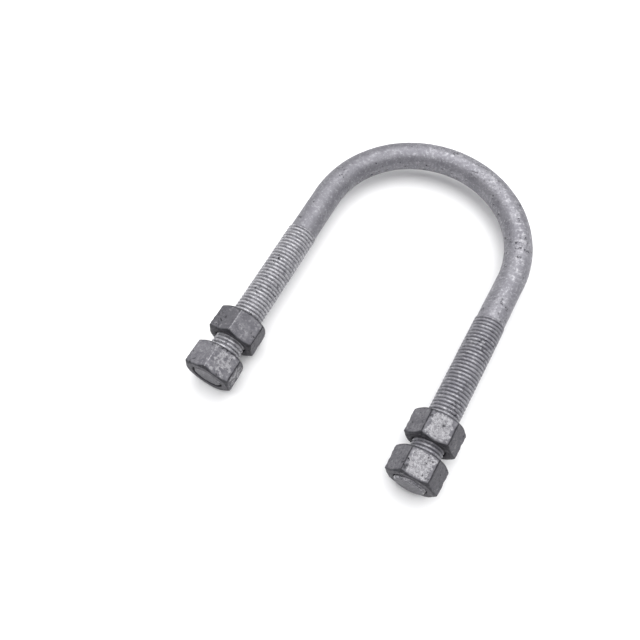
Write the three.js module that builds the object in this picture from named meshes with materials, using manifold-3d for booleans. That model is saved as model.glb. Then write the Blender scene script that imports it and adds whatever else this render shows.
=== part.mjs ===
// U-bolt for a round pipe: a round bar bent into a U, threaded on both legs, with two hex nuts on each
// leg. A plate or a beam flange is clamped between the inner and the outer nuts.
//
// Frame, in millimetres: the U lies flat, as on a bench. +Z is normal to the plane of the U, the legs
// run towards -Y and the bend lies towards +Y. X = 0 is halfway between the legs, Y = 0 is halfway
// along the bolt, and Z = 0 is the surface under the lowest corners of the nuts.

import * as THREE from 'three';
import { mergeVertices } from 'three/addons/utils/BufferGeometryUtils.js';
import Module from 'manifold-3d';

// Driving dimensions: the pipe and the bar.
const PIPE_DIAMETER = 114.3;        // DN100, the 4 inch pipe that the bend takes
const PIPE_CLEARANCE = 2.0;         // free play between the pipe and the inside of the bend
const SHANK_DIAMETER = 18.6;        // plain bar, the blank diameter of a rolled M20 thread
const THREAD_DIAMETER = 20.0;       // M20, over the crests
const THREAD_PITCH = 2.5;           // coarse pitch of M20
const LEG_REACH = 152.0;            // from the centre of the bend to the ends of the legs
const THREAD_LENGTH = 120.0;        // threaded part of each leg, end chamfer included
const END_CHAMFER = 1.2;            // 45 degree chamfer on the leg ends

// Driving dimensions: the nuts.
const NUT_WIDTH = 30.0;             // across the flats
const NUT_HEIGHT = 18.0;
const NUT_FACE_INSET = 0.7;         // from the flats in to the edge of the flat bearing ring
const NUT_CHAMFER_ANGLE = 30;       // degrees, between the corner chamfer and the bearing face
const NUT_MOUTH_RISE = 0.7;         // 45 degree countersink at both mouths, on the radius
const THREAD_CLEARANCE = 0.3;       // free radius between the crests of the rod and the nut's bore

// Where the nuts stand. The overhang is how far an outer nut reaches past the end of its leg, and is
// negative where the leg stands proud of the nut. The turn is that of a hex corner, counted from +Z by
// the right-hand rule about the outward direction of the leg, in degrees.
const LEGS = [
  { name: 'left', side: -1, overhang: 0.4, grip: 8.8, innerTurn: -1, outerTurn: -1 },
  { name: 'right', side: 1, overhang: -1.8, grip: 7.0, innerTurn: 27, outerTurn: 29 },
];

// How finely round surfaces are cut into flat facets.
const SHANK_SIDES = 24;
const THREAD_SIDES = 48;
const NUT_SIDES = 48;
const BEND_STEP = 4.5;              // length of one step along the bent bar

// How far the turned blank of a nut stands out past the hexagon's corners, so that it clears them.
const BLANK_SPARE = 1.0;

// Derived sizes.
const SHANK_RADIUS = SHANK_DIAMETER / 2;
const THREAD_RADIUS = THREAD_DIAMETER / 2;
const BEND_RADIUS = PIPE_DIAMETER / 2 + PIPE_CLEARANCE + SHANK_RADIUS;
const THREAD_START = LEG_REACH - THREAD_LENGTH;
const NUT_CORNER_RADIUS = NUT_WIDTH / 2 / Math.cos(Math.PI / 6);
const BORE_RADIUS = (THREAD_RADIUS + THREAD_CLEARANCE) / Math.cos(Math.PI / NUT_SIDES);
const BEND_CENTRE_Y = (LEG_REACH - BEND_RADIUS - SHANK_RADIUS) / 2;
const AXIS_HEIGHT = NUT_CORNER_RADIUS;

// The solids library joins and cuts closed meshes that are made from three.js geometry.
const wasm = await Module();
wasm.setup();

// Returns the manifold solid of a closed three.js geometry.
function solidOf(geometry) {
  const bare = geometry.clone();
  bare.deleteAttribute('normal');
  bare.deleteAttribute('uv');
  const merged = mergeVertices(bare, 1e-4);
  return new wasm.Manifold(new wasm.Mesh({
    numProp: 3,
    vertProperties: new Float32Array(merged.attributes.position.array),
    triVerts: new Uint32Array(merged.index.array),
  }));
}

// Returns the three.js geometry of a manifold solid.
function geometryOf(solid) {
  const mesh = solid.getMesh();
  const geometry = new THREE.BufferGeometry();
  geometry.setAttribute('position', new THREE.BufferAttribute(mesh.vertProperties, 3));
  geometry.setIndex(new THREE.BufferAttribute(mesh.triVerts, 1));
  geometry.computeVertexNormals();
  return geometry;
}

// Returns the closed polygon of a regular section, its first corner at the given angle.
function regularShape(radius, sides, firstAngle = 0) {
  const corners = [];
  for (let i = 0; i < sides; i += 1) {
    const angle = firstAngle + (i * 2 * Math.PI) / sides;
    corners.push(new THREE.Vector2(radius * Math.cos(angle), radius * Math.sin(angle)));
  }
  return new THREE.Shape(corners);
}

// Turns a profile of [radius, height] pairs, from the axis back to the axis, about local +Z.
function turned(profile, sides) {
  const points = profile.map(([radius, height]) => new THREE.Vector2(radius, height));
  return new THREE.LatheGeometry(points, sides).rotateX(Math.PI / 2);
}

// The centre line of the plain bar, by length: up the left leg, round the bend, down the right leg.
class BarLine extends THREE.Curve {
  constructor(radius, legLength) {
    super();
    this.radius = radius;
    this.legLength = legLength;
    this.bendLength = Math.PI * radius;
  }

  get length() {
    return this.bendLength + 2 * this.legLength;
  }

  getPoint(t, target = new THREE.Vector3()) {
    const travelled = t * this.length;
    const round = travelled - this.legLength;
    if (round < 0) {
      return target.set(-this.radius, round, 0);
    }
    if (round > this.bendLength) {
      return target.set(this.radius, this.bendLength - round, 0);
    }
    const angle = Math.PI - round / this.radius;
    return target.set(this.radius * Math.cos(angle), this.radius * Math.sin(angle), 0);
  }
}

// The threaded part of one leg, along local +Z from the end of the plain bar. It is as thick as the
// crests of the thread, rises from the bar over one pitch and ends in the chamfer.
function threadedLeg() {
  return turned([
    [0, -THREAD_PITCH],
    [SHANK_RADIUS - THREAD_CLEARANCE, -THREAD_PITCH],
    [SHANK_RADIUS, 0],
    [THREAD_RADIUS, THREAD_PITCH],
    [THREAD_RADIUS, THREAD_LENGTH - END_CHAMFER],
    [THREAD_RADIUS - END_CHAMFER, THREAD_LENGTH],
    [0, THREAD_LENGTH],
  ], THREAD_SIDES);
}

// The bent rod, its bend centred on the origin.
function bentRod() {
  const line = new BarLine(BEND_RADIUS, THREAD_START + THREAD_PITCH / 2);
  const bar = new THREE.ExtrudeGeometry(regularShape(SHANK_RADIUS, SHANK_SIDES), {
    steps: Math.ceil(line.length / BEND_STEP),
    extrudePath: line,
    bevelEnabled: false,
  });
  let rod = solidOf(bar);
  for (const leg of LEGS) {
    const stud = threadedLeg()
      .rotateX(Math.PI / 2)
      .translate(leg.side * BEND_RADIUS, -THREAD_START, 0);
    rod = rod.add(solidOf(stud));
  }
  return geometryOf(rod);
}

// A hex nut along local +Z from its inner face, with one corner towards local +Y: the hexagon is cut
// by a turned blank that gives the corner chamfers, and bored with a countersink at both mouths.
function hexNut() {
  const faceRadius = NUT_WIDTH / 2 - NUT_FACE_INSET;
  const blankRadius = NUT_CORNER_RADIUS + BLANK_SPARE;
  const slope = Math.tan(THREE.MathUtils.degToRad(NUT_CHAMFER_ANGLE));
  const chamferRise = (blankRadius - faceRadius) * slope;
  const cutRadius = BORE_RADIUS + 2 * NUT_MOUTH_RISE;

  const hexagon = new THREE.ExtrudeGeometry(regularShape(NUT_CORNER_RADIUS, 6, Math.PI / 2), {
    depth: NUT_HEIGHT,
    bevelEnabled: false,
  });
  const blank = turned([
    [0, 0],
    [faceRadius, 0],
    [blankRadius, chamferRise],
    [blankRadius, NUT_HEIGHT - chamferRise],
    [faceRadius, NUT_HEIGHT],
    [0, NUT_HEIGHT],
  ], NUT_SIDES);
  const bore = turned([
    [0, -NUT_MOUTH_RISE],
    [cutRadius, -NUT_MOUTH_RISE],
    [BORE_RADIUS, NUT_MOUTH_RISE],
    [BORE_RADIUS, NUT_HEIGHT - NUT_MOUTH_RISE],
    [cutRadius, NUT_HEIGHT + NUT_MOUTH_RISE],
    [0, NUT_HEIGHT + NUT_MOUTH_RISE],
  ], NUT_SIDES);
  return geometryOf(solidOf(hexagon).intersect(solidOf(blank)).subtract(solidOf(bore)));
}

// Stands a nut on a leg: its inner face at the given distance from the centre of the bend, its axis
// outward along the leg.
function standNut(name, geometry, material, leg, reach, turn) {
  const nut = new THREE.Mesh(geometry, material);
  nut.name = name;
  nut.rotation.set(Math.PI / 2, 0, THREE.MathUtils.degToRad(turn), 'XYZ');
  nut.position.set(leg.side * BEND_RADIUS, -reach, 0);
  return nut;
}

const barZinc = new THREE.MeshStandardMaterial({ color: 0xa9a8ae, roughness: 0.55, metalness: 0.8 });
const nutZinc = new THREE.MeshStandardMaterial({ color: 0x77777c, roughness: 0.6, metalness: 0.8 });

// Everything is placed about the centre of the bend, and the group carries it into the part's frame.
const group = new THREE.Group();
group.position.set(0, BEND_CENTRE_Y, AXIS_HEIGHT);

const rod = new THREE.Mesh(bentRod(), barZinc);
rod.name = 'bent_rod';
group.add(rod);

const nutGeometry = hexNut();
for (const leg of LEGS) {
  const outerReach = LEG_REACH + leg.overhang - NUT_HEIGHT;
  const innerReach = outerReach - leg.grip - NUT_HEIGHT;
  group.add(standNut(`${leg.name}_inner_nut`, nutGeometry, nutZinc, leg, innerReach, leg.innerTurn));
  group.add(standNut(`${leg.name}_outer_nut`, nutGeometry, nutZinc, leg, outerReach, leg.outerTurn));
}

export default group;
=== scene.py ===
"""A galvanised U-bolt for a round pipe: a bent bar, threaded on both legs, with two hex nuts on each leg.

Lengths are in metres, in the part's own frame: the U lies flat, +Z is normal to its plane, the legs run
towards -Y and the bend lies towards +Y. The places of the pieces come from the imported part.
"""

import logging
import math
from dataclasses import dataclass
from enum import Enum
from functools import cache

import bmesh
import bpy
import numpy as np
from mathutils import Matrix, Vector, noise


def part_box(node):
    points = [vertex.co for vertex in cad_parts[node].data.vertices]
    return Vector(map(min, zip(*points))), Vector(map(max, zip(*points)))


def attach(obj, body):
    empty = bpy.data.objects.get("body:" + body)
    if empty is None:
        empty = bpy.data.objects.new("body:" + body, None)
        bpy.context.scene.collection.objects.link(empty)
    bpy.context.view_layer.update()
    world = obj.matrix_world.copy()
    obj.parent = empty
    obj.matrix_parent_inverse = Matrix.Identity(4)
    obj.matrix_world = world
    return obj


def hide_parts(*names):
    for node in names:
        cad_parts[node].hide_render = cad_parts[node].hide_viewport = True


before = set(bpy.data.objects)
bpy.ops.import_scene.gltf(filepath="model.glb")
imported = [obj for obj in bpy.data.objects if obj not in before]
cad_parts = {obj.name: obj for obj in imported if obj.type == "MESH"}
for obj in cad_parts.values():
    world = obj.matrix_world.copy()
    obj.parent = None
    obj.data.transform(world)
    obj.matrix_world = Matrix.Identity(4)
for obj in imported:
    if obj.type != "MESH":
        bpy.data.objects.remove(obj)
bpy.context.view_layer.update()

MM = 0.001
TURN = 2.0 * math.pi
SIDES = 6
SEXTANT = TURN / SIDES
LOG = logging.getLogger("u_bolt")

Array = np.ndarray
Colour = tuple[float, float, float]
Solid = tuple[float, float, float, float]
Socket = bpy.types.NodeSocket


class Side(Enum):
    """The two legs, by the sign of their X."""

    LEFT = -1
    RIGHT = 1


class Trait(Enum):
    """What the mesh tells the finish about a place on the skin, as a point attribute from 0 to 1."""

    # How deep in a thread's groove or a nut's bore a point lies: the finish lays painted shade there.
    RECESS = "zinc_recess"
    RUB = "zinc_rub"
    SEAM = "zinc_seam"
    # Zinc rubbed clean, and painted highlight and painted light on the bar, the threads and the nuts' flats.
    WIPE = "zinc_wipe"
    # Darkened zinc, and painted shade on the bar and on the nuts' flats.
    DULL = "zinc_dull"


@cache
def corners_of(node: str) -> tuple[Vector, Vector]:
    """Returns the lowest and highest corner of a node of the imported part."""
    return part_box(node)


def ease(share: Array) -> Array:
    """Returns a smooth step from 0 to 1 as the share goes from 0 to 1."""
    held = np.clip(share, 0.0, 1.0)
    return held * held * (3.0 - 2.0 * held)


@dataclass(frozen=True)
class Step:
    """A smooth step from 0 to 1: the value where it starts, and how far on it ends."""

    start: float
    over: float

    def at(self, values: Array) -> Array:
        """Returns the height of the step at each value."""
        return ease((values - self.start) / self.over)


# --------------------------------------------------------------------------------------------------
# Meshes
# --------------------------------------------------------------------------------------------------


class Skin:
    """Grids of points and faces that are welded into one closed mesh."""

    WELD = 1e-6

    def __init__(self) -> None:
        """Starts an empty skin."""
        self.points: list[Array] = []
        self.faces: list[Array] = []
        self.count = 0

    def add(self, points: Array, faces: Array) -> None:
        """Adds points and the faces between them.

        Args:
            points: Places, one row each.
            faces: Indices into those points, four to a row.
        """
        self.points.append(points)
        self.faces.append(faces + self.count)
        self.count += len(points)

    def add_rings(self, rings: Array) -> None:
        """Adds a tube of rings, each joined to the next.

        Args:
            rings: Places as rings by columns by 3.
        """
        rows, columns = rings.shape[:2]
        ring, column = np.meshgrid(np.arange(rows - 1), np.arange(columns), indexing="ij")
        after = (column + 1) % columns
        corners = [ring * columns + column, ring * columns + after]
        corners += [(ring + 1) * columns + after, (ring + 1) * columns + column]
        self.add(rings.reshape(-1, 3), np.stack(corners, axis=-1).reshape(-1, 4))

    def weld(self, name: str) -> bpy.types.Object:
        """Welds the grids into one smooth mesh, its faces pointing out.

        Args:
            name: Name of the object and its mesh.

        Returns:
            The object, in the scene.
        """
        mesh = bpy.data.meshes.new(name)
        faces = [row.tolist() for block in self.faces for row in block]
        mesh.from_pydata(np.concatenate(self.points).tolist(), [], faces)
        work = bmesh.new()
        work.from_mesh(mesh)
        bmesh.ops.remove_doubles(work, verts=work.verts, dist=self.WELD)
        loose = [vertex for vertex in work.verts if not vertex.link_faces]
        bmesh.ops.delete(work, geom=loose, context="VERTS")
        bmesh.ops.recalc_face_normals(work, faces=work.faces)
        for face in work.faces:
            face.smooth = True
        work.to_mesh(mesh)
        work.free()
        piece = bpy.data.objects.new(name, mesh)
        bpy.context.scene.collection.objects.link(piece)
        return piece


def places_of(piece: bpy.types.Object) -> Array:
    """Reads the places of a piece's points.

    Args:
        piece: The mesh object.

    Returns:
        The places, one row each.
    """
    flat = np.empty(len(piece.data.vertices) * 3)
    piece.data.vertices.foreach_get("co", flat)
    return flat.reshape(-1, 3)


def give_trait(piece: bpy.types.Object, trait: Trait, values: Array) -> None:
    """Stores a trait on a piece, with one value from 0 to 1 for each of its points."""
    layer = piece.data.attributes.new(trait.value, "FLOAT", "POINT")
    layer.data.foreach_set("value", np.clip(values, 0.0, 1.0).astype(np.float32))


@dataclass(frozen=True)
class Unevenness:
    """How far a dipped coat of zinc stands off a true surface, at one size of wave."""

    wave: float
    height: float

    def lift(self, places: Array) -> Array:
        """Returns the height of the coat at each place."""
        scaled = places / self.wave
        return self.height * np.array([noise.noise(place) for place in scaled])


@dataclass(frozen=True)
class Bead:
    """A frozen drop of zinc, or with a negative height a nick, at a place on the skin."""

    place: Array
    radius: float
    height: float

    def nearness(self, places: Array) -> Array:
        """Returns how near each place is to the bead's middle, from 1 there to 0 far off."""
        away = np.linalg.norm(places - self.place, axis=1) / self.radius
        return np.exp(-away * away)

    def lift(self, places: Array) -> Array:
        """Returns how far the bead lifts the skin at each place."""
        return self.height * self.nearness(places)


def roughen(piece: bpy.types.Object, features: list[Unevenness | Bead], share: Array | float = 1.0) -> None:
    """Moves the skin along its normals by its uneven coat and by its beads and nicks.

    Args:
        piece: The mesh object.
        features: Waves of the coat, drops and nicks.
        share: How much of them each point takes, from 0 to 1.
    """
    places = places_of(piece)
    normals = np.empty(places.size)
    piece.data.vertices.foreach_get("normal", normals)
    lift = share * sum(feature.lift(places) for feature in features)
    moved = places + normals.reshape(-1, 3) * lift[:, None]
    piece.data.vertices.foreach_set("co", moved.reshape(-1))
    piece.data.update()


# --------------------------------------------------------------------------------------------------
# The thread and the legs it runs on
# --------------------------------------------------------------------------------------------------


@dataclass(frozen=True)
class ThreadForm:
    """A coarse right-hand metric thread, its flanks softened and its roots part filled by zinc."""

    crest_radius: float
    pitch: float = 2.5 * MM
    depth: float = 1.15 * MM
    roundness: float = 3.0
    rows: int = 12

    def radius(self, phase: Array) -> Array:
        """Returns the radius at a phase of the pitch, counted from the middle of a crest."""
        away = 2.0 * np.abs((phase + 0.5) % 1.0 - 0.5)
        return self.crest_radius - self.depth * away**self.roundness


@dataclass(frozen=True)
class Leg:
    """One straight leg of the bar: its axis runs towards -Y from the centre of the bend."""

    x: float
    y_bend: float
    z: float

    def place(self, along: Array | float, angle: Array | float, radius: Array | float) -> Array:
        """Finds places round the leg.

        Args:
            along: Distance from the centre of the bend.
            angle: Turn about the outward direction of the leg, from +Z, by the right-hand rule.
            radius: Distance from the axis.

        Returns:
            The places, with their three parts along the last axis.
        """
        across = self.x - radius * np.sin(angle)
        height = self.z + radius * np.cos(angle)
        return np.stack(np.broadcast_arrays(across, self.y_bend - along, height), axis=-1)

    def along(self, places: Array) -> Array:
        """Returns the distances of places along the leg from the centre of the bend."""
        return self.y_bend - places[:, 1]

    def radius(self, places: Array) -> Array:
        """Returns the distances of places from the leg's axis."""
        return np.hypot(places[:, 0] - self.x, places[:, 2] - self.z)

    def angle(self, places: Array) -> Array:
        """Returns the turns of places about the leg's outward direction, from +Z."""
        return np.arctan2(self.x - places[:, 0], places[:, 2] - self.z)


class RadiusRule:
    """The radius of a threaded surface by place and phase."""

    def radius(self, along: Array, phase: Array) -> Array:
        """Returns the radius at distances along the leg and at phases of the thread."""
        raise NotImplementedError


@dataclass(frozen=True)
class LegThread(RadiusRule):
    """The rolled thread of a leg: it grows out of the plain bar and ends in a chamfer."""

    form: ThreadForm
    shank_radius: float
    start: float
    end: float
    run_out: float
    chamfer: float

    def radius(self, along: Array, phase: Array) -> Array:
        """Finds the radius of the leg's thread.

        Args:
            along: Distances from the centre of the bend.
            phase: Phases of the pitch, counted from the middle of a crest.

        Returns:
            The radius at each of them.
        """
        grown = Step(self.start, self.run_out).at(along)
        body = self.shank_radius + (self.form.radius(phase) - self.shank_radius) * grown
        cone = self.form.crest_radius - self.chamfer + (self.end - along)
        cut = np.minimum(body, cone)
        return np.where(along >= self.end, self.form.crest_radius - self.chamfer, cut)


@dataclass(frozen=True)
class NutThread(RadiusRule):
    """The tapped thread of a nut, with a 45 degree countersink at both mouths."""

    form: ThreadForm
    clearance: float
    mouth_radius: float
    start: float
    end: float

    def radius(self, along: Array, phase: Array) -> Array:
        """Finds the radius of the nut's thread.

        Args:
            along: Distances from the centre of the bend.
            phase: Phases of the pitch, counted from the middle of a crest.

        Returns:
            The radius at each of them.
        """
        inner = self.mouth_radius - (along - self.start)
        outer = self.mouth_radius - (self.end - along)
        return np.maximum(self.form.radius(phase) + self.clearance, np.maximum(inner, outer))


@dataclass(frozen=True)
class Helix:
    """A helical grid round a leg, cut square at both ends, for an outer or an inner thread."""

    leg: Leg
    form: ThreadForm
    angles: Array
    start: float
    end: float

    def weave(self, skin: Skin, shape: RadiusRule) -> None:
        """Adds the thread to a skin.

        Rows follow the crest, so the row that leaves the last column enters the first column one
        pitch on. Rows past either end are held at the end, and the weld closes them into a circle.

        Args:
            skin: The skin to add to.
            shape: Gives the radius from the distance along the leg and the phase of the thread.
        """
        form = self.form
        columns = len(self.angles)
        hand = 1 if self.angles[-1] > self.angles[0] else -1
        first = math.floor(self.start / form.pitch * form.rows) - form.rows - 1
        last = math.ceil(self.end / form.pitch * form.rows) + form.rows + 1
        row = np.arange(first, last + 1)
        free = form.pitch * (row[:, None] / form.rows + self.angles[None, :] / TURN)
        along = np.clip(free, self.start, self.end)
        phase = np.broadcast_to((row / form.rows)[:, None], along.shape)
        angle = np.broadcast_to(self.angles[None, :], along.shape)
        points = self.leg.place(along, angle, shape.radius(along, phase))

        here, column = np.meshgrid(np.arange(len(row) - 1), np.arange(columns), indexing="ij")
        shift = np.where(column == columns - 1, hand * form.rows, 0)
        after = (column + 1) % columns
        known = (here + shift >= 0) & (here + shift + 1 < len(row))
        corners = [here * columns + column, (here + shift) * columns + after]
        corners += [(here + shift + 1) * columns + after, (here + 1) * columns + column]
        faces = np.stack(corners, axis=-1)[known]
        reach = along.reshape(-1)[faces]
        live = np.ptp(reach, axis=1) > 0.0
        skin.add(points.reshape(-1, 3), faces[live])


# --------------------------------------------------------------------------------------------------
# Finishes
# --------------------------------------------------------------------------------------------------


class Maths(Enum):
    """How two values of the nodes are put together."""

    ADD = "ADD"
    SUBTRACT = "SUBTRACT"
    MULTIPLY = "MULTIPLY"
    MAXIMUM = "MAXIMUM"
    ABSOLUTE = "ABSOLUTE"


@dataclass(frozen=True)
class Climb:
    """A smooth climb of a node's value, from start to end as it goes from low to high."""

    low: float
    high: float
    start: float = 0.0
    end: float = 1.0


class Graph:
    """A small builder of shader nodes for one material."""

    def __init__(self, name: str) -> None:
        """Starts a material with an empty node tree and the output in place.

        Args:
            name: Name of the material.
        """
        self.material = bpy.data.materials.new(name)
        self.material.use_nodes = True
        self.tree = self.material.node_tree
        self.tree.nodes.clear()
        self.output = self.tree.nodes.new("ShaderNodeOutputMaterial")
        self.places = self.tree.nodes.new("ShaderNodeTexCoord").outputs["Object"]

    def join(self, source: Socket, target: Socket) -> None:
        """Links a source socket to a target socket."""
        self.tree.links.new(source, target)

    def feed(self, target: Socket, value: Socket | Solid | float) -> None:
        """Links a socket, or sets a constant, on a target socket.

        Args:
            target: The socket to feed.
            value: A socket to link, or a colour or number to set.
        """
        if isinstance(value, Socket):
            self.join(value, target)
        else:
            target.default_value = value

    def noise(self, size: float, detail: float = 2.0, rough: float = 0.5) -> Socket:
        """Adds a noise.

        Args:
            size: Size of the largest cloud, in metres.
            detail: Octaves of finer noise.
            rough: How strong the finer noise is.

        Returns:
            The noise, from 0 to 1.
        """
        node = self.tree.nodes.new("ShaderNodeTexNoise")
        self.join(self.places, node.inputs["Vector"])
        node.inputs["Scale"].default_value = 1.0 / size
        node.inputs["Detail"].default_value = detail
        node.inputs["Roughness"].default_value = rough
        return node.outputs["Fac"]

    def cells(self, size: float) -> Socket:
        """Adds a pattern of cells.

        Args:
            size: Size of a cell, in metres.

        Returns:
            The distance from the middle of each cell.
        """
        node = self.tree.nodes.new("ShaderNodeTexVoronoi")
        self.join(self.places, node.inputs["Vector"])
        node.inputs["Scale"].default_value = 1.0 / size
        return node.outputs["Distance"]

    def trait(self, trait: Trait) -> Socket:
        """Reads a trait of the mesh.

        Args:
            trait: Which trait.

        Returns:
            Its value, from 0 to 1.
        """
        node = self.tree.nodes.new("ShaderNodeAttribute")
        node.attribute_name = trait.value
        return node.outputs["Fac"]

    def climb(self, value: Socket, climb: Climb) -> Socket:
        """Carries a value smoothly from one band to another.

        Args:
            value: The value to carry.
            climb: The two bands.

        Returns:
            The carried value.
        """
        node = self.tree.nodes.new("ShaderNodeMapRange")
        node.interpolation_type = "SMOOTHSTEP"
        self.join(value, node.inputs["Value"])
        node.inputs["From Min"].default_value = climb.low
        node.inputs["From Max"].default_value = climb.high
        node.inputs["To Min"].default_value = climb.start
        node.inputs["To Max"].default_value = climb.end
        return node.outputs["Result"]

    def combine(self, maths: Maths, left: Socket, right: Socket | float) -> Socket:
        """Puts two values together.

        Args:
            maths: How they are put together.
            left: The first value.
            right: The second value.

        Returns:
            The result, which isn't clamped.
        """
        node = self.tree.nodes.new("ShaderNodeMath")
        node.operation = maths.value
        self.feed(node.inputs[0], left)
        self.feed(node.inputs[1], right)
        return node.outputs["Value"]

    def blend(self, share: Socket, under: Socket | Solid, over: Socket | Solid) -> Socket:
        """Lays one colour over another.

        Args:
            share: How much of the upper colour shows.
            under: The lower colour.
            over: The upper colour.

        Returns:
            The blended colour.
        """
        node = self.tree.nodes.new("ShaderNodeMix")
        node.data_type = "RGBA"
        self.feed(node.inputs["Factor"], share)
        self.feed(node.inputs["A"], under)
        self.feed(node.inputs["B"], over)
        return node.outputs["Result"]

    def bump(self, height: Socket, depth: float, under: Socket | None = None) -> Socket:
        """Bumps the skin by a height.

        Args:
            height: Height from 0 to 1.
            depth: What a height of 1 stands for, in metres.
            under: Normals that are bumped already.

        Returns:
            The bumped normals.
        """
        node = self.tree.nodes.new("ShaderNodeBump")
        node.inputs["Distance"].default_value = depth
        self.join(height, node.inputs["Height"])
        if under is not None:
            self.join(under, node.inputs["Normal"])
        return node.outputs["Normal"]


def solid(colour: Colour) -> Solid:
    """Returns a colour with full alpha."""
    return (*colour, 1.0)


@dataclass(frozen=True)
class DippedZinc:
    """Hot-dip zinc: cloudy matt grey with a fine grain, dark pits in clusters and rubbed edges.

    Sizes are in metres. The names in capitals are shared by every zinc: which values of a noise show
    as a colour, a pit or a bare patch, and how strongly.
    """

    name: str
    dark: Colour
    mid: Colour
    light: Colour
    dark_mark: Colour
    cloud_size: float
    grain_size: float
    pit_size: float
    pit_share: float
    roughness: tuple[float, float]
    grain_depth: float
    groove_shade: float
    wipe_rag: float
    wipe_soft: float
    worm_size: float
    worm_hold: float
    metallic: float = 0.5

    CLOUD_TO_MID = Climb(0.34, 0.64)
    GRAIN_TO_LIGHT = Climb(0.50, 0.66, 0.0, 0.65)
    GRAIN_TO_DARK = Climb(0.34, 0.48, 0.5, 0.0)
    GRAIN_TO_GLOSS = (0.35, 0.65)
    PIT_ROUGHNESS = Climb(0.0, 1.0, 0.0, 0.2)
    PIT_HOLLOW = Climb(0.0, 1.0, 1.0, 0.0)
    SWELL = 3.0

    CLUSTER_SIZE = 6.0
    CLUSTER_EDGE = (-0.04, 0.06)
    RAGGED_PIT = Climb(0.57, 0.64)
    ROUND_SPACING = 1.5
    ROUND_PIT = Climb(0.10, 0.20, 0.8, 0.0)
    ROUND_GROUP = 2.0
    ROUND_KEPT = Climb(0.58, 0.64)

    DULL_SHADE = 0.6
    DULL_COVER = Climb(0.0, 1.0, 0.0, 0.85)
    STREAK_SIZE = 2.0
    STREAK_BAND = (0.3, 0.7)
    WIPE_MIDDLE = 0.475
    WIPE_GRAIN = Climb(0.36, 0.58, 0.25, 1.0)
    WORM_MIDDLE = 0.5
    WORM_BAND = (0.006, 0.035)
    RECESS_SHADE_BAND = (0.40, 1.0)
    SEAM_STREAK = Climb(0.34, 0.50, 0.6, 1.0)
    RUB_GRAIN = Climb(0.44, 0.52)

    def material(self) -> bpy.types.Material:
        """Builds the finish.

        Returns:
            A material that reads the traits of the mesh.
        """
        graph = Graph(self.name)
        clouds = graph.noise(self.cloud_size, detail=4.0, rough=0.55)
        grain = graph.noise(self.grain_size, detail=5.0, rough=0.8)
        pits = self.pits(graph)

        colour = graph.blend(graph.climb(clouds, self.CLOUD_TO_MID), solid(self.dark), solid(self.mid))
        colour = graph.blend(graph.climb(grain, self.GRAIN_TO_LIGHT), colour, solid(self.light))
        colour = graph.blend(graph.climb(grain, self.GRAIN_TO_DARK), colour, solid(self.dark))
        colour = self.worn(graph, colour, grain)
        colour = graph.blend(pits, colour, solid(self.dark_mark))

        shader = graph.tree.nodes.new("ShaderNodeBsdfPrincipled")
        graph.join(colour, shader.inputs["Base Color"])
        shader.inputs["Metallic"].default_value = self.metallic
        glossy, matt = self.roughness
        rough = graph.climb(grain, Climb(*self.GRAIN_TO_GLOSS, matt, glossy))
        rough = graph.combine(Maths.ADD, rough, graph.climb(pits, self.PIT_ROUGHNESS))
        graph.join(rough, shader.inputs["Roughness"])
        swell = self.SWELL * self.grain_depth
        normal = graph.bump(clouds, swell)
        normal = graph.bump(grain, self.grain_depth, normal)
        normal = graph.bump(graph.climb(pits, self.PIT_HOLLOW), swell, normal)
        graph.join(normal, shader.inputs["Normal"])
        graph.join(shader.outputs["BSDF"], graph.output.inputs["Surface"])
        return graph.material

    def pits(self, graph: Graph) -> Socket:
        """Scatters dark pits: ragged ones in clusters, and a few round ones between.

        Args:
            graph: The material's nodes.

        Returns:
            Where the pits are, from 0 to 1.
        """
        low, high = (1.0 - self.pit_share + edge for edge in self.CLUSTER_EDGE)
        gathered = graph.climb(graph.noise(self.CLUSTER_SIZE * self.pit_size, detail=3.0), Climb(low, high))
        ragged = graph.climb(graph.noise(self.pit_size, detail=4.0, rough=0.8), self.RAGGED_PIT)
        cluster = graph.combine(Maths.MULTIPLY, ragged, gathered)
        dots = graph.climb(graph.cells(self.ROUND_SPACING * self.pit_size), self.ROUND_PIT)
        kept = graph.climb(graph.noise(self.ROUND_GROUP * self.pit_size, detail=1.0), self.ROUND_KEPT)
        return graph.combine(Maths.MAXIMUM, cluster, graph.combine(Maths.MULTIPLY, dots, kept))

    def worn(self, graph: Graph, colour: Socket, grain: Socket) -> Socket:
        """Lays dulled skin with painted shade, wiping marks with painted highlights, painted shade in the
        recesses, dark seams and rubbed corners on a colour.

        Args:
            graph: The material's nodes.
            colour: The colour so far.
            grain: The fine noise that breaks the wear up.

        Returns:
            The worn colour.
        """
        dull_and_shade = tuple(self.DULL_SHADE * part for part in self.dark)
        colour = graph.blend(graph.climb(graph.trait(Trait.DULL), self.DULL_COVER), colour, solid(dull_and_shade))
        streak = graph.noise(self.STREAK_SIZE * self.grain_size, detail=3.0)
        # Rubbing and painted highlights lay the light colour.
        colour = graph.blend(self.bared_and_highlighted(graph, streak, grain), colour, solid(self.light))
        # Painted shade in the thread's grooves and the nut's bore, darker the deeper.
        recess_shade = graph.climb(graph.trait(Trait.RECESS), Climb(*self.RECESS_SHADE_BAND, 0.0, self.groove_shade))
        colour = graph.blend(recess_shade, colour, solid(self.dark_mark))
        seam = graph.combine(Maths.MULTIPLY, graph.trait(Trait.SEAM), graph.climb(streak, self.SEAM_STREAK))
        colour = graph.blend(seam, colour, solid(self.dark_mark))
        rubbed = graph.combine(Maths.MULTIPLY, graph.trait(Trait.RUB), graph.climb(grain, self.RUB_GRAIN))
        return graph.blend(rubbed, colour, solid(self.light))

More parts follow.
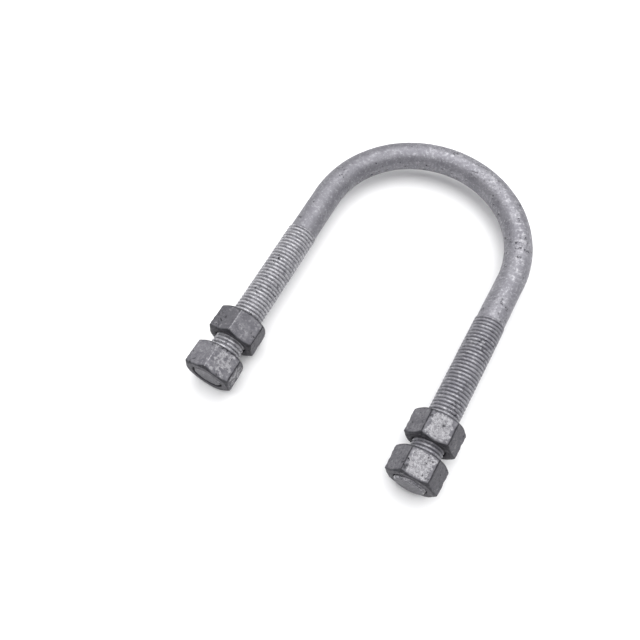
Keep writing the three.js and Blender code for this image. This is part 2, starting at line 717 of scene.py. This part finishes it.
    def bared_and_highlighted(self, graph: Graph, streak: Socket, grain: Socket) -> Socket:
        """Finds where wiping has cleared the zinc bright and where painted highlights and light are laid the
        same way, with a ragged border and dark worm marks left in it.

        Args:
            graph: The material's nodes.
            streak: The noise that tears the border.
            grain: The fine noise that breaks the patch up.

        Returns:
            Where the zinc is bare or painted light, from 0 to 1.
        """
        rag = graph.climb(streak, Climb(*self.STREAK_BAND, -self.wipe_rag, self.wipe_rag))
        ragged = graph.combine(Maths.ADD, graph.trait(Trait.WIPE), rag)
        edge = Climb(self.WIPE_MIDDLE - self.wipe_soft, self.WIPE_MIDDLE + self.wipe_soft)
        wiped_and_lit = graph.climb(ragged, edge)
        broken = graph.combine(Maths.MULTIPLY, wiped_and_lit, graph.climb(grain, self.WIPE_GRAIN))
        off_middle = graph.combine(Maths.SUBTRACT, graph.noise(self.worm_size, detail=2.0), self.WORM_MIDDLE)
        worm = graph.combine(Maths.ABSOLUTE, off_middle, 0.0)
        cleared = graph.climb(worm, Climb(*self.WORM_BAND, self.worm_hold))
        return graph.combine(Maths.MULTIPLY, broken, cleared)


BAR_ZINC = DippedZinc(
    name="zinc_on_bar",
    dark=(0.166, 0.163, 0.182),
    mid=(0.208, 0.205, 0.224),
    light=(0.385, 0.382, 0.400),
    dark_mark=(0.030, 0.029, 0.036),
    cloud_size=10.0 * MM,
    grain_size=1.7 * MM,
    pit_size=2.6 * MM,
    pit_share=0.47,
    roughness=(0.40, 0.60),
    grain_depth=0.075 * MM,
    groove_shade=0.68,
    wipe_rag=0.3,
    wipe_soft=0.275,
    worm_size=2.9 * MM,
    worm_hold=0.35,
)

NUT_ZINC = DippedZinc(
    name="zinc_on_nut",
    dark=(0.120, 0.117, 0.132),
    mid=(0.178, 0.175, 0.190),
    light=(0.300, 0.297, 0.309),
    dark_mark=(0.016, 0.016, 0.020),
    cloud_size=7.0 * MM,
    grain_size=1.8 * MM,
    pit_size=2.3 * MM,
    pit_share=0.51,
    roughness=(0.56, 0.74),
    grain_depth=0.09 * MM,
    groove_shade=0.9,
    wipe_rag=0.45,
    wipe_soft=0.13,
    worm_size=2.0 * MM,
    worm_hold=0.1,
)


# --------------------------------------------------------------------------------------------------
# The bent rod
# --------------------------------------------------------------------------------------------------


@dataclass(frozen=True)
class BentRod:
    """The round bar bent into a U, with a rolled thread and a chamfered end on each leg."""

    node: str = "bent_rod"
    body: str = "rod"
    slot: str = "galvanised_bar"
    shank_radius: float = 9.3 * MM
    thread_length: float = 120.0 * MM
    plain_lead: float = 1.8 * MM
    run_out: float = 1.7 * MM
    end_chamfer: float = 1.2 * MM
    columns: int = 72
    ring_step: float = 1.6 * MM
    coat: tuple[Unevenness, ...] = (Unevenness(9.0 * MM, 0.10 * MM), Unevenness(2.2 * MM, 0.045 * MM))

    # The sawn ends: the dish's depth, its wall as a share of the rim, and the rings from rim to middle.
    end_dish: float = 0.25 * MM
    dish_wall: float = 0.25
    end_rings: tuple[float, ...] = (1.0, 0.97, 0.90, 0.75, 0.55, 0.35, 0.15, 0.0)

    # Drops and nicks on the threads, within a share of a turn on each side of the top.
    bead_seed: int = 11
    beads_per_leg: int = 16
    bead_turn: float = 0.3
    bead_sink: float = 0.3 * MM
    bead_heights: tuple[float, ...] = (0.14 * MM, 0.18 * MM, -0.4 * MM)
    bead_radii: tuple[float, float] = (0.5 * MM, 1.1 * MM)

    # Wear of the threads and the ends; the threads' shine is partly a painted highlight, more on the left leg
    # than the right. The starts are counted back from the end, in chamfers.
    left_shine: float = 0.68
    right_shine: float = 0.20
    dull_start: float = 1.6
    dull_over: float = 0.6
    shine_stop: float = 3.0
    rim_middle: float = 0.7
    rim_margin: float = 0.05 * MM

    # Painted light on the plain bar: a painted highlight at a turn round the section from its outward side,
    # and painted shade towards the left leg; both come in by steps across the U.
    bend_highlight: float = 0.25
    highlight_turn: float = 1.45
    highlight_spread: float = 0.38
    highlight_step: Step = Step(-0.6, 0.5)
    bend_shade: float = 0.42
    shade_step: Step = Step(0.2, 0.6)

    def corners(self) -> tuple[Vector, Vector]:
        """Returns the lowest and highest corner of the rod."""
        return corners_of(self.node)

    @property
    def thread_radius(self) -> float:
        """Radius over the crests, which are the rod's thickest part."""
        low, high = self.corners()
        return (high.z - low.z) / 2.0

    @property
    def bend_radius(self) -> float:
        """Radius of the bend's centre line."""
        return self.corners()[1].x - self.thread_radius

    @property
    def bend_y(self) -> float:
        """Y of the centre of the bend."""
        return self.corners()[1].y - self.bend_radius - self.shank_radius

    @property
    def axis_z(self) -> float:
        """Height of the plane of the U."""
        low, high = self.corners()
        return (low.z + high.z) / 2.0

    @property
    def reach(self) -> float:
        """Distance from the centre of the bend to the ends of the legs."""
        return self.bend_y - self.corners()[0].y

    @property
    def thread_start(self) -> float:
        """Distance from the centre of the bend to where the thread starts to rise from the bar."""
        return self.reach - self.thread_length + self.plain_lead

    def form(self) -> ThreadForm:
        """Returns the form of the thread."""
        return ThreadForm(crest_radius=self.thread_radius)

    def leg(self, side: Side) -> Leg:
        """Returns one leg."""
        return Leg(side.value * self.bend_radius, self.bend_y, self.axis_z)

    def sections(self) -> Array:
        """Returns the turns of the columns round the bar, from the bend's outward side to +Z."""
        return np.arange(self.columns) * TURN / self.columns

    def angles(self, side: Side) -> Array:
        """Returns the bend's columns as turns about a leg's outward direction, from +Z."""
        return -side.value * (self.sections() - TURN / 4.0)

    def build(self) -> bpy.types.Object:
        """Builds the rod.

        Returns:
            One closed mesh with its traits.
        """
        skin = Skin()
        self.add_bend(skin)
        for side in Side:
            self.add_thread(skin, side)
            self.add_end(skin, side)
        rod = skin.weld("bent_rod_visual")
        self.mark(rod)
        roughen(rod, [*self.coat, *self.beads()])
        return rod

    def add_bend(self, skin: Skin) -> None:
        """Adds the plain bar between the two threads.

        Args:
            skin: The skin to add to.
        """
        leg_length = self.thread_start
        total = math.pi * self.bend_radius + 2.0 * leg_length
        stations = np.linspace(0.0, total, math.ceil(total / self.ring_step) + 1)
        sections = self.sections()
        upward = np.array([0.0, 0.0, 1.0]) * np.sin(sections)[:, None]
        rings = []
        for station in stations:
            beyond = station - leg_length
            bent = min(max(beyond, 0.0), math.pi * self.bend_radius)
            turn = math.pi - bent / self.bend_radius
            outward = np.array([math.cos(turn), math.sin(turn), 0.0])
            centre = np.array([0.0, self.bend_y, self.axis_z]) + outward * self.bend_radius
            centre[1] -= abs(beyond - bent)
            ring = outward * np.cos(sections)[:, None] + upward
            rings.append(centre + ring * self.shank_radius)
        skin.add_rings(np.array(rings))

    def add_thread(self, skin: Skin, side: Side) -> None:
        """Adds the threaded part of one leg.

        Args:
            skin: The skin to add to.
            side: Which leg.
        """
        rule = LegThread(
            form=self.form(),
            shank_radius=self.shank_radius,
            start=self.thread_start,
            end=self.reach,
            run_out=self.run_out,
            chamfer=self.end_chamfer,
        )
        helix = Helix(self.leg(side), self.form(), self.angles(side), self.thread_start, self.reach)
        helix.weave(skin, rule)

    def add_end(self, skin: Skin, side: Side) -> None:
        """Adds the sawn end of one leg, a little dished.

        Args:
            skin: The skin to add to.
            side: Which leg.
        """
        leg = self.leg(side)
        rim = self.thread_radius - self.end_chamfer
        angles = self.angles(side)
        shares = np.array(self.end_rings)
        dish = self.end_dish * ease((1.0 - shares) / self.dish_wall)
        rings = [leg.place(self.reach - depth, angles, rim * share) for share, depth in zip(shares, dish)]
        skin.add_rings(np.array(rings))

    def beads(self) -> list[Bead]:
        """Strews drops of zinc and small nicks over the threads.

        Returns:
            The drops and nicks of both legs.
        """
        draw = np.random.default_rng(self.bead_seed)
        beads = []
        for side in Side:
            leg = self.leg(side)
            for _ in range(self.beads_per_leg):
                along = draw.uniform(self.thread_start + self.run_out, self.reach - self.end_chamfer)
                angle = draw.uniform(-self.bead_turn, self.bead_turn) * TURN
                place = leg.place(along, angle, self.thread_radius - self.bead_sink)
                height = draw.choice(self.bead_heights)
                beads.append(Bead(place, draw.uniform(*self.bead_radii), height))
        return beads

    def mark(self, rod: bpy.types.Object) -> None:
        """Stores the traits: painted shade in the grooves, dulled ends, the bar's painted highlight and
        painted shade, the threads' partly painted shine, and the ends' rubbed rims.

        Args:
            rod: The mesh object.
        """
        places = places_of(rod)
        form = self.form()
        chamfer = self.end_chamfer
        recess = np.zeros(len(places))
        rub = np.zeros(len(places))
        # The plain bar starts with its painted highlight and painted shade.
        wipe_and_highlight, dull_and_shade = self.bend_painted_light(places)
        for side, shine in ((Side.LEFT, self.left_shine), (Side.RIGHT, self.right_shine)):
            leg = self.leg(side)
            along, radius = leg.along(places), leg.radius(places)
            near = (side.value * places[:, 0] > 0.0) & (along > self.thread_start)
            grown = Step(self.thread_start, self.run_out).at(along)
            groove = (form.crest_radius - radius) / form.depth * grown
            recess = np.where(near & (along < self.reach - chamfer), groove, recess)
            ended = Step(self.reach - self.dull_start * chamfer, self.dull_over * chamfer).at(along)
            dull_and_shade = np.where(near & (along > self.thread_start + self.run_out), ended, dull_and_shade)
            faded = 1.0 - Step(self.reach - self.shine_stop * chamfer, chamfer).at(along)
            # The thread takes a partly painted highlight, stronger on the left leg than on the right.
            wipe_and_highlight = np.where(near, wipe_and_highlight * (1.0 - grown) + shine * faded * grown, wipe_and_highlight)
            rim = ease(1.0 - np.abs(self.reach - self.rim_middle * chamfer - along) / chamfer)
            beyond = radius > self.thread_radius - chamfer + self.rim_margin
            rub = np.where(near & beyond & (places[:, 2] > leg.z), rim, rub)
        give_trait(rod, Trait.RECESS, recess)
        give_trait(rod, Trait.DULL, dull_and_shade)
        give_trait(rod, Trait.WIPE, wipe_and_highlight)
        give_trait(rod, Trait.RUB, rub)

    def bend_painted_light(self, places: Array) -> tuple[Array, Array]:
        """Finds the plain bar's painted highlight and painted shade.

        A painted highlight lies on the bar's upper side towards the right leg, and painted shade darkens
        the coat towards the left leg.

        Args:
            places: Places of the points, one row each.

        Returns:
            How much painted highlight each point takes, and how much painted shade.
        """
        across = places[:, 0] / self.bend_radius
        beyond = np.maximum(places[:, 1] - self.bend_y, 0.0)
        outward = np.hypot(places[:, 0], beyond) - self.bend_radius
        section = np.arctan2(places[:, 2] - self.axis_z, outward)
        crest = np.exp(-((section - self.highlight_turn) / self.highlight_spread) ** 2)
        # A painted highlight round the section's upper side, and painted shade towards the left leg.
        wipe_and_highlight = self.bend_highlight * crest * self.highlight_step.at(across)
        dull_and_shade = self.bend_shade * self.shade_step.at(-across)
        return wipe_and_highlight, dull_and_shade

    def dress(self, rod: bpy.types.Object) -> None:
        """Puts the finish on the rod and ties it to its body.

        Args:
            rod: The mesh object.
        """
        rod.data.materials.append(BAR_ZINC.material())
        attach(rod, self.body)
        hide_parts(self.node)


# --------------------------------------------------------------------------------------------------
# The nuts
# --------------------------------------------------------------------------------------------------


class Place(Enum):
    """Where a nut stands on its leg."""

    INNER = "inner"
    OUTER = "outer"


@dataclass(frozen=True)
class Scar:
    """A lump, or with a negative height a dent, at one place on the outside of a nut.

    Its share is how far along the nut it lies, from 0 at the inner face to 1 at the outer face, and
    its turn is counted from the nut's topmost corner.
    """

    share: float
    turn: float
    radius: float
    height: float


@dataclass(frozen=True)
class NutWear:
    """How a nut's coat wears, with painted shade on its flats by the way they face: lengths in metres, turns
    in radians, and shares from 0 to 1.
    """

    skin_margin: float = 0.1 * MM
    flat_margin: float = 0.02 * MM
    bore_margin: float = 0.02 * MM
    bore_fade: float = 0.6 * MM

    # Soot where the chamfers meet the flats and on the ridges, and a rub on the corner that faces up.
    scallop_width: float = 0.5 * MM
    scallop_middle: float = 0.1 * MM
    scallop_soot: float = 0.75
    ridge_turn: float = 0.05
    rub_turn: float = 0.025
    corner_up: Step = Step(0.94, 0.04)

    # Wiped flats, inside a border that is kept; and painted shade on flats the more they face sideways,
    # heavier on those towards +X.
    border_turn: Step = Step(0.01, 0.22)
    border_depth: Step = Step(0.2 * MM, 1.8 * MM)
    flat_up: Step = Step(0.86, 0.12)
    flat_sideways: Step = Step(-0.75, 0.25)
    left_side_shade: float = 0.45
    right_side_shade: float = 0.85
    upward_dull: float = 0.42
    wiped_dull: float = 0.4


@dataclass(frozen=True)
class NutBeads:
    """Drops and nicks strewn on each corner of a nut and along each side of its chamfers."""

    seed: int = 5
    on_corner: int = 6
    corner_turn: float = 0.03
    corner_share: tuple[float, float] = (0.08, 0.92)
    corner_heights: tuple[float, ...] = (0.20 * MM, -0.28 * MM, -0.20 * MM)
    corner_radii: tuple[float, float] = (0.4 * MM, 1.1 * MM)
    on_side: int = 4
    side_turn: tuple[float, float] = (0.1, 0.9)
    side_shares: tuple[float, float] = (0.04, 0.96)
    side_spread: float = 0.02
    side_height: float = -0.25 * MM
    side_radii: tuple[float, float] = (0.5 * MM, 1.3 * MM)


@dataclass(frozen=True)
class HexNut:
    """A forged hex nut with chamfered corners at both faces, tapped for the leg's thread.

    Above 0 the shade is painted light on the flats towards -X and +X, laid like zinc rubbed clean; below 0 it
    is painted shade on them.
    """

    rod: BentRod
    side: Side
    position: Place
    shade: tuple[float, float] = (0.0, 0.0)
    scars: tuple[Scar, ...] = ()
    slot: str = "galvanised_nut"
    across_flats: float = 30.0 * MM
    face_inset: float = 0.7 * MM
    chamfer_slope: float = math.tan(math.radians(30.0))
    mouth_radius: float = 11.0 * MM
    thread_clearance: float = 0.40 * MM
    corner_power: float = 30.0
    edge_round: float = 0.28 * MM
    coat: tuple[Unevenness, ...] = (Unevenness(6.0 * MM, 0.16 * MM), Unevenness(1.8 * MM, 0.07 * MM))
    wear: NutWear = NutWear()
    strewn: NutBeads = NutBeads()

    # Columns from a corner to the middle of a flat, as shares of that turn.
    corner_columns: tuple[float, ...] = (0.0, 0.012, 0.028, 0.055, 0.09, 0.14)
    flat_from: float = 0.20
    flat_columns: int = 12

    # Rings as shares of the face, the chamfer and half the flat, and how far the edges are rounded off.
    face_rings: tuple[float, ...] = (0.0, 0.1, 0.4, 0.7)
    chamfer_rings: tuple[float, ...] = (0.25, 0.5, 0.75)
    flat_rings: int = 14
    face_edge_drop: float = 0.1
    corner_edge_pull: float = 0.06
    corner_edge_drop: float = 0.05

    @property
    def node(self) -> str:
        """Name of the nut's node, which is also its body's."""
        return f"{self.side.name.lower()}_{self.position.value}_nut"

    @property
    def leg(self) -> Leg:
        """The leg that the nut is on."""
        return self.rod.leg(self.side)

    @property
    def start(self) -> float:
        """Distance from the centre of the bend to the nut's inner face."""
        return self.rod.bend_y - corners_of(self.node)[1].y

    @property
    def end(self) -> float:
        """Distance from the centre of the bend to the nut's outer face."""
        return self.rod.bend_y - corners_of(self.node)[0].y

    @property
    def apothem(self) -> float:
        """Distance from the nut's axis to its flats."""
        return self.across_flats / 2.0

    def turn(self) -> float:
        """Reads how the nut is turned from its own solid.

        Returns:
            The turn of the hexagon's topmost corner from +Z.
        """
        places = places_of(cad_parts[self.node])
        corner = float(self.leg.angle(places)[np.argmax(self.leg.radius(places))])
        return (corner + SEXTANT / 2.0) % SEXTANT - SEXTANT / 2.0

    def columns(self) -> Array:
        """Spaces the columns round the nut, closer together at the corners.

        Returns:
            The turns of the columns, in rising order.
        """
        on_flat = np.linspace(self.flat_from, 1.0, self.flat_columns)
        from_corner = SEXTANT / 2.0 * np.concatenate([self.corner_columns, on_flat])
        sextant = np.concatenate([from_corner, SEXTANT - from_corner[-2:0:-1]])
        return np.concatenate([sextant + side * SEXTANT for side in range(SIDES)]) + self.turn()

    def hexagon(self, angles: Array) -> Array:
        """Finds the outline of the hexagon, its corners slightly rounded.

        Args:
            angles: Turns about the leg, from +Z.

        Returns:
            The radius at each turn.
        """
        total = np.zeros_like(angles)
        for flat in range(SIDES):
            facing = np.cos(angles - self.turn() - (flat + 0.5) * SEXTANT)
            total += np.maximum(facing, 0.0) ** self.corner_power
        return self.apothem / total ** (1.0 / self.corner_power)

    def build(self) -> bpy.types.Object:
        """Builds the nut.

        Returns:
            One closed mesh with its traits.
        """
        skin = Skin()
        angles = self.columns()
        self.add_outside(skin, angles)
        rule = NutThread(self.rod.form(), self.thread_clearance, self.mouth_radius, self.start, self.end)
        Helix(self.leg, self.rod.form(), angles, self.start, self.end).weave(skin, rule)
        nut = skin.weld(f"{self.node}_visual")
        self.mark(nut)
        outside = 1.0 - self.depth_in_bore(places_of(nut))
        roughen(nut, [*self.coat, *self.scar_beads(), *self.strewn_beads()], outside)
        return nut

    def depth_in_bore(self, places: Array) -> Array:
        """Returns how deep in the bore places are, from 0 at the mouth to 1 on the thread."""
        sunk = self.mouth_radius + self.wear.bore_margin - self.leg.radius(places)
        return ease(sunk / self.wear.bore_fade)

    def add_outside(self, skin: Skin, angles: Array) -> None:
        """Adds the two bearing faces, the corner chamfers and the flats.

        Args:
            skin: The skin to add to.
            angles: Turns of the columns.
        """
        level = np.ones_like(angles)
        hexagon = self.hexagon(angles)
        face = self.apothem - self.face_inset
        rim = face - self.mouth_radius
        chamfer = hexagon - face
        drop = chamfer * self.chamfer_slope
        soft = np.minimum(self.edge_round, drop)
        flat = (self.end - self.start) / 2.0 - drop - soft
        profile = [((self.mouth_radius + share * rim) * level, 0.0 * level) for share in self.face_rings]
        profile.append(((face - self.edge_round) * level, 0.0 * level))
        profile.append((face * level, self.face_edge_drop * soft))
        profile += [(face + share * chamfer, share * drop) for share in self.chamfer_rings]
        profile.append((hexagon - soft, drop - soft * self.chamfer_slope))
        profile.append((hexagon - self.corner_edge_pull * soft, drop + self.corner_edge_drop * soft))
        profile += [(hexagon, drop + soft + share * flat) for share in np.linspace(0.0, 1.0, self.flat_rings)]
        near = [self.leg.place(self.start + deep, angles, wide) for wide, deep in profile]
        far = [self.leg.place(self.end - deep, angles, wide) for wide, deep in profile[-2::-1]]
        skin.add_rings(np.array(near + far))

    def spot(self, share: float, off_corner: float) -> Array:
        """Finds a place on the outside of the nut.

        Args:
            share: How far along the nut, from 0 at the inner face to 1 at the outer face.
            off_corner: Turn from the topmost corner.

        Returns:
            The place.
        """
        angle = self.turn() + off_corner
        along = self.start + share * (self.end - self.start)
        return self.leg.place(along, angle, self.hexagon(np.array([angle]))[0])

    def scar_beads(self) -> list[Bead]:
        """Returns the nut's own scars."""
        return [Bead(self.spot(scar.share, scar.turn), scar.radius, scar.height) for scar in self.scars]

    def strewn_beads(self) -> list[Bead]:
        """Strews drops and nicks along the nut's corners and chamfers.

        Returns:
            The drops and nicks.
        """
        kind = self.strewn
        draw = np.random.default_rng([self.side.value + 1, len(self.position.value), kind.seed])
        beads = []
        for corner in range(SIDES):
            for _ in range(kind.on_corner):
                turn = corner * SEXTANT + draw.uniform(-kind.corner_turn, kind.corner_turn)
                height = draw.choice(kind.corner_heights)
                place = self.spot(draw.uniform(*kind.corner_share), turn)
                beads.append(Bead(place, draw.uniform(*kind.corner_radii), height))
            for _ in range(kind.on_side):
                turn = corner * SEXTANT + draw.uniform(*kind.side_turn) * SEXTANT
                share = draw.choice(kind.side_shares) + draw.uniform(-kind.side_spread, kind.side_spread)
                beads.append(Bead(self.spot(share, turn), draw.uniform(*kind.side_radii), kind.side_height))
        return beads

    def mark(self, nut: bpy.types.Object) -> None:
        """Stores the traits: painted shade in the bore, sooty and rubbed corners, dulled ends, and the flats,
        rubbed clean in places and given painted light and painted shade.

        Args:
            nut: The mesh object.
        """
        places = places_of(nut)
        along, radius = self.leg.along(places), self.leg.radius(places)
        depth = np.minimum(along - self.start, self.end - along)
        chamfer = (radius - self.apothem + self.face_inset) * self.chamfer_slope
        outside = radius > self.apothem - self.wear.skin_margin
        on_flat = outside & (depth > chamfer + self.wear.flat_margin)
        inward = depth - chamfer

        off = self.leg.angle(places) - self.turn()
        corner = np.round(off / SEXTANT) * SEXTANT + self.turn()
        flat = (np.floor(off / SEXTANT) + 0.5) * SEXTANT + self.turn()
        off_corner = np.abs(self.leg.angle(places) - corner)

        upward = self.wear.corner_up.at(np.cos(corner))
        ridge = ease(1.0 - off_corner / self.wear.ridge_turn) * (1.0 - upward)
        scallop = ease(1.0 - np.abs(inward - self.wear.scallop_middle) / self.wear.scallop_width)
        beside = radius > self.apothem - self.wear.scallop_width
        dark_mark = self.wear.scallop_soot * np.where(beside, scallop, 0.0)
        seam = np.maximum(np.where(outside, ridge, 0.0), dark_mark)
        rub = np.where(on_flat, ease(1.0 - off_corner / self.wear.rub_turn) * upward, 0.0)
        for bead in self.scar_beads():
            if bead.height > 0.0:
                rub = np.maximum(rub, bead.nearness(places))
            else:
                seam = np.maximum(seam, bead.nearness(places))

        border = self.wear.border_turn.at(off_corner) * self.wear.border_depth.at(inward)
        # The flats take painted light and painted shade as well as rubbing.
        wipe_and_highlight, dull_and_shade = self.flat_wear_and_shade(flat)
        # Painted shade in the bore, darker the deeper.
        give_trait(nut, Trait.RECESS, self.depth_in_bore(places))
        give_trait(nut, Trait.RUB, rub)
        give_trait(nut, Trait.SEAM, seam)
        give_trait(nut, Trait.DULL, np.where(on_flat, dull_and_shade, 1.0))
        give_trait(nut, Trait.WIPE, np.where(on_flat, border * wipe_and_highlight, 0.0))

    def flat_wear_and_shade(self, flat: Array) -> tuple[Array, Array]:
        """Finds how far the flats are rubbed clean and darkened by the way they face: flats facing sideways
        take painted shade, and each nut adds its own painted light and shade.

        Args:
            flat: Turn of the middle of the flat from +Z, for each point.

        Returns:
            How far each point's flat is rubbed clean, with its painted light, and how darkened, with its
            painted shade.
        """
        rightward = np.sin(flat) < 0.0
        upturned = self.wear.flat_up.at(np.cos(flat))
        sideways = self.wear.flat_sideways.at(-np.cos(flat))
        # Each nut's own painted light (above 0) and painted shade (below 0) on its flats.
        own = np.where(rightward, self.shade[1], self.shade[0])
        # Painted shade on flats that face sideways, heavier towards +X.
        side_shade = np.where(rightward, self.wear.right_side_shade, self.wear.left_side_shade)
        dull_and_shade = np.maximum(-own, 0.0) + side_shade * sideways
        dull_and_shade += self.wear.upward_dull * upturned + self.wear.wiped_dull * np.maximum(own, 0.0)
        return np.maximum(upturned, own), dull_and_shade

    def dress(self, nut: bpy.types.Object, finish: bpy.types.Material) -> None:
        """Puts the finish on the nut and ties it to its body.

        Args:
            nut: The mesh object.
            finish: The material that all nuts share.
        """
        nut.data.materials.append(finish)
        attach(nut, self.node)
        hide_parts(self.node)


FROZEN_LUMP = (
    Scar(share=0.10, turn=0.0, radius=1.2 * MM, height=0.55 * MM),
    Scar(share=0.20, turn=0.03, radius=0.8 * MM, height=0.45 * MM),
)
CORNER_DENTS = (
    Scar(share=0.80, turn=-0.07, radius=1.2 * MM, height=-0.8 * MM),
    Scar(share=0.72, turn=-0.12, radius=0.8 * MM, height=-0.5 * MM),
)
FLAT_NICK = (Scar(share=0.40, turn=-0.62, radius=1.0 * MM, height=-0.4 * MM),)


# --------------------------------------------------------------------------------------------------
# The studio
# --------------------------------------------------------------------------------------------------


@dataclass(frozen=True)
class Softbox:
    """A square area light that looks at the part's origin."""

    name: str
    place: tuple[float, float, float]
    width: float
    power: float

    def hang(self) -> None:
        """Hangs the light in its place."""
        lamp = bpy.data.lights.new(self.name, "AREA")
        lamp.shape = "SQUARE"
        lamp.size = self.width
        lamp.energy = self.power
        light = bpy.data.objects.new(self.name, lamp)
        bpy.context.scene.collection.objects.link(light)
        light.location = self.place
        light.rotation_euler = (-Vector(self.place)).to_track_quat("-Z", "Y").to_euler()


@dataclass(frozen=True)
class Studio:
    """A pale floor, soft lights and the camera."""

    floor_width: float = 6.0
    floor_colour: Colour = (0.84, 0.84, 0.84)
    floor_roughness: float = 0.9
    sky_colour: Colour = (0.92, 0.92, 0.96)
    sky_strength: float = 0.42
    softboxes: tuple[Softbox, ...] = (
        Softbox("overhead_softbox", place=(-0.08, 0.28, 1.5), width=2.2, power=52.0),
        Softbox("right_softbox", place=(1.3, 0.6, 1.0), width=1.2, power=5.0),
        Softbox("left_softbox", place=(-1.5, 0.6, 0.6), width=1.0, power=4.0),
    )

    # The camera: angles in degrees, the lens and its sensor in millimetres.
    focal_length: float = 38.98
    sensor_width: float = 36.0
    azimuth: float = 28.47
    elevation: float = 65.12
    roll: float = 0.70
    distance: float = 0.4404
    aim_x: float = -0.0268
    aim_below_bend: float = -0.0847

    def build(self, rod: BentRod) -> None:
        """Builds the floor, the sky, the lights and the camera.

        Args:
            rod: The rod, which gives the centre of the bend.
        """
        self.lay_floor()
        self.set_sky()
        for softbox in self.softboxes:
            softbox.hang()
        self.stand_camera(rod)

    def lay_floor(self) -> None:
        """Lays the floor under the bolt."""
        half = self.floor_width / 2.0
        mesh = bpy.data.meshes.new("studio_floor")
        corners = [(-half, -half, 0.0), (half, -half, 0.0), (half, half, 0.0), (-half, half, 0.0)]
        mesh.from_pydata(corners, [], [(0, 1, 2, 3)])
        floor = bpy.data.objects.new("studio_floor", mesh)
        bpy.context.scene.collection.objects.link(floor)
        graph = Graph("studio_floor")
        shader = graph.tree.nodes.new("ShaderNodeBsdfPrincipled")
        shader.inputs["Base Color"].default_value = solid(self.floor_colour)
        shader.inputs["Roughness"].default_value = self.floor_roughness
        graph.join(shader.outputs["BSDF"], graph.output.inputs["Surface"])
        mesh.materials.append(graph.material)

    def set_sky(self) -> None:
        """Sets an even, faint sky."""
        world = bpy.data.worlds.new("studio_sky")
        world.use_nodes = True
        sky = world.node_tree.nodes["Background"]
        sky.inputs["Color"].default_value = solid(self.sky_colour)
        sky.inputs["Strength"].default_value = self.sky_strength
        bpy.context.scene.world = world

    def stand_camera(self, rod: BentRod) -> None:
        """Stands the camera and makes it the scene's camera.

        Args:
            rod: The rod, which gives the centre of the bend.
        """
        azimuth, elevation, roll = (math.radians(part) for part in (self.azimuth, self.elevation, self.roll))
        level = math.cos(elevation)
        back = Vector((math.sin(azimuth) * level, -math.cos(azimuth) * level, math.sin(elevation)))
        right = Vector((math.cos(azimuth), math.sin(azimuth), 0.0))
        up = back.cross(right)
        tilted_right = math.cos(roll) * right + math.sin(roll) * up
        tilted_up = back.cross(tilted_right)
        aim = Vector((self.aim_x, rod.bend_y + self.aim_below_bend, rod.axis_z))
        pose = Matrix((tilted_right, tilted_up, back)).transposed().to_4x4()
        pose.translation = aim + back * self.distance
        lens = bpy.data.cameras.new("camera")
        lens.lens = self.focal_length
        lens.sensor_width = self.sensor_width
        camera = bpy.data.objects.new("camera", lens)
        camera.matrix_world = pose
        bpy.context.scene.collection.objects.link(camera)
        bpy.context.scene.camera = camera


def main() -> None:
    rod = BentRod()
    Studio().build(rod)
    bpy.context.scene.view_settings.view_transform = "Standard"
    bar = rod.build()
    rod.dress(bar)
    LOG.info("%s: %d faces", bar.name, len(bar.data.polygons))
    finish = NUT_ZINC.material()
    # The shades paint shade on the left inner nut's flats and light on the left outer nut's flats towards +X.
    nuts = [
        HexNut(rod, Side.LEFT, Place.INNER, shade=(-0.7, -0.35)),
        HexNut(rod, Side.LEFT, Place.OUTER, shade=(0.0, 0.55), scars=FROZEN_LUMP),
        HexNut(rod, Side.RIGHT, Place.INNER, scars=FLAT_NICK),
        HexNut(rod, Side.RIGHT, Place.OUTER, scars=CORNER_DENTS),
    ]
    for nut in nuts:
        piece = nut.build()
        nut.dress(piece, finish)
        LOG.info("%s: %d faces", piece.name, len(piece.data.polygons))


if __name__ == "__main__":
    logging.basicConfig(level=logging.INFO)
    main()
